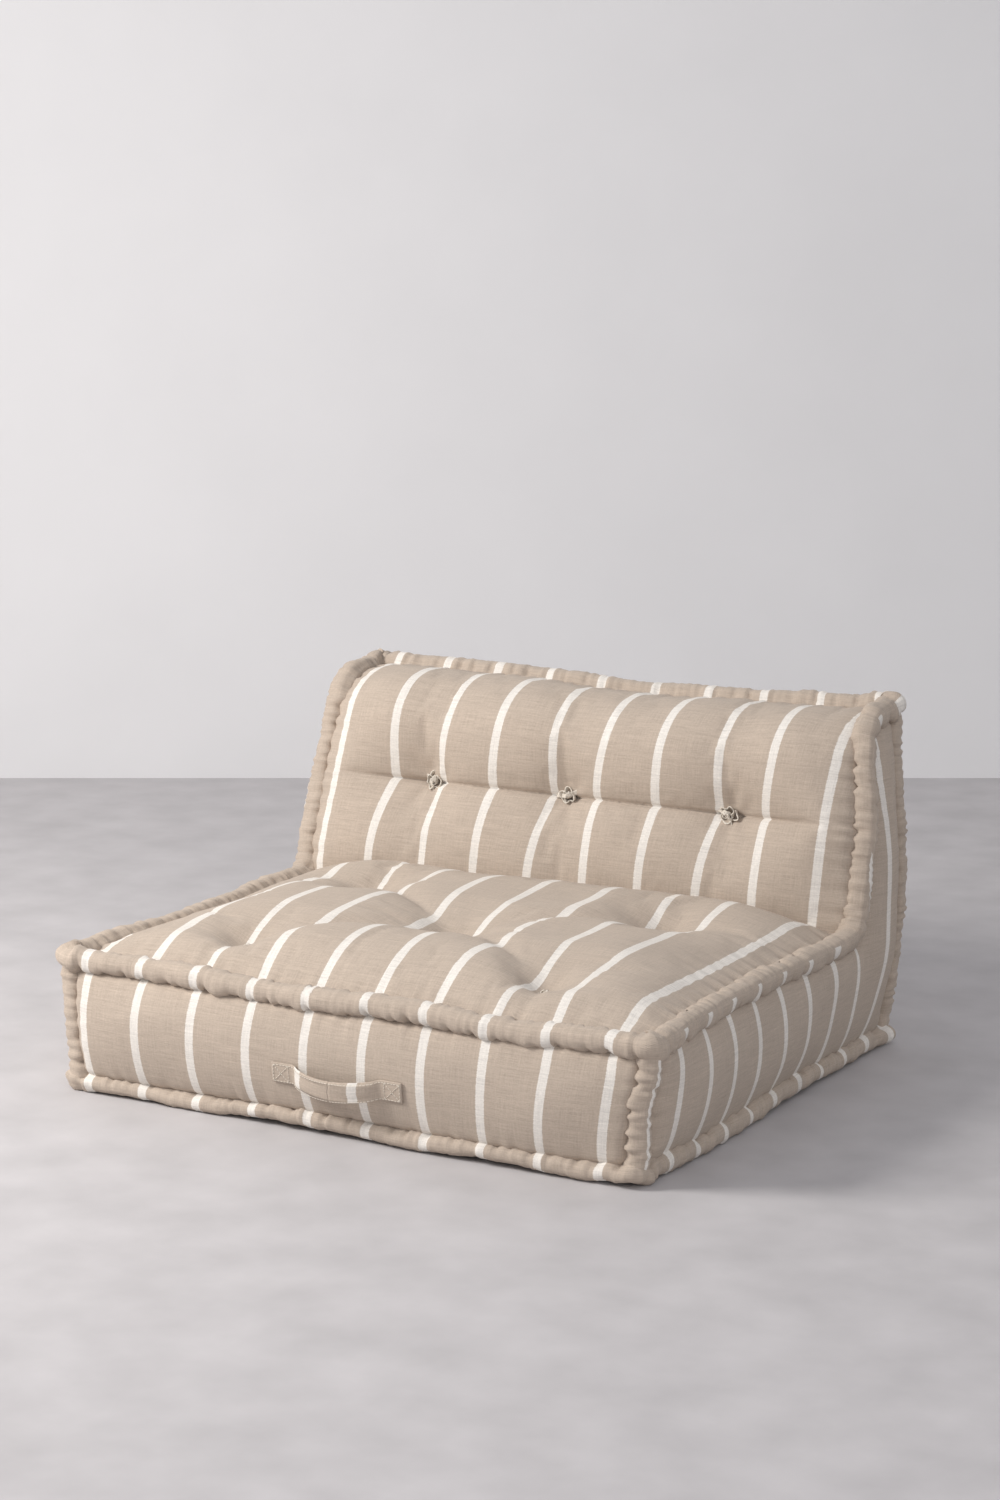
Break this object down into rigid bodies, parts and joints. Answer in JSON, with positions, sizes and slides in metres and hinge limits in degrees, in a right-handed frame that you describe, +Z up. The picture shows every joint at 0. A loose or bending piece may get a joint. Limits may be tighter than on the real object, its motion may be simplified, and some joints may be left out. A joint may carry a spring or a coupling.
{
  "type": "modular floor sofa unit",
  "caption": "Legless modular floor sofa unit with a tufted seat and leaning backrest in striped cloth, hand-stitched rolled edges and a sewn strap handle on the front.",
  "frame": {"origin": "on the floor, under the middle of the rolled edges", "axes": "+X to the right of someone who looks at the front, +Y from the front to the back, +Z up"},
  "size_m": [1, 0.9398, 0.57],
  "materials": {
    "striped_cloth": "matt linen weave in beige with cream stripes",
    "plain_cloth": "matt linen weave in plain beige",
    "foam": "open-cell upholstery foam",
    "wadding": "loose cotton wadding",
    "twine": "waxed cotton twine",
    "felt": "pressed wool felt"
  },
  "bodies": {
    "sofa": {"base_cover": "plain_cloth", "front_cover": "striped_cloth", "back_cover": "striped_cloth", "left_side_cover": "striped_cloth", "right_side_cover": "striped_cloth", "seat_cover": "striped_cloth", "backrest_cover": "striped_cloth", "seat_foam": "foam", "backrest_foam": "foam", "seat_wadding": "wadding", "backrest_wadding": "wadding", "front_seat_roll": "striped_cloth", "left_edge_roll": "striped_cloth", "right_edge_roll": "striped_cloth", "back_top_roll": "striped_cloth", "front_base_roll": "striped_cloth", "left_base_roll": "striped_cloth", "right_base_roll": "striped_cloth", "back_base_roll": "striped_cloth", "front_left_corner_roll": "striped_cloth", "front_right_corner_roll": "striped_cloth", "back_left_corner_roll": "striped_cloth", "back_right_corner_roll": "striped_cloth", "seat_rosettes": "plain_cloth", "backrest_rosettes": "plain_cloth", "seat_twines": "twine", "backrest_twines": "twine", "base_washers": "felt", "back_washers": "felt", "handle_left_end": "striped_cloth", "handle_right_end": "striped_cloth"},
    "handle": {"handle_grip": "striped_cloth"}
  },
  "joints": [
    {"name": "handle_swing", "type": "hinge", "parent": "sofa", "child": "handle", "pos_m": [0, -0.46637, 0.0826], "axis": [-1, 0, 0], "range_deg": [0, 50]}
  ]
}
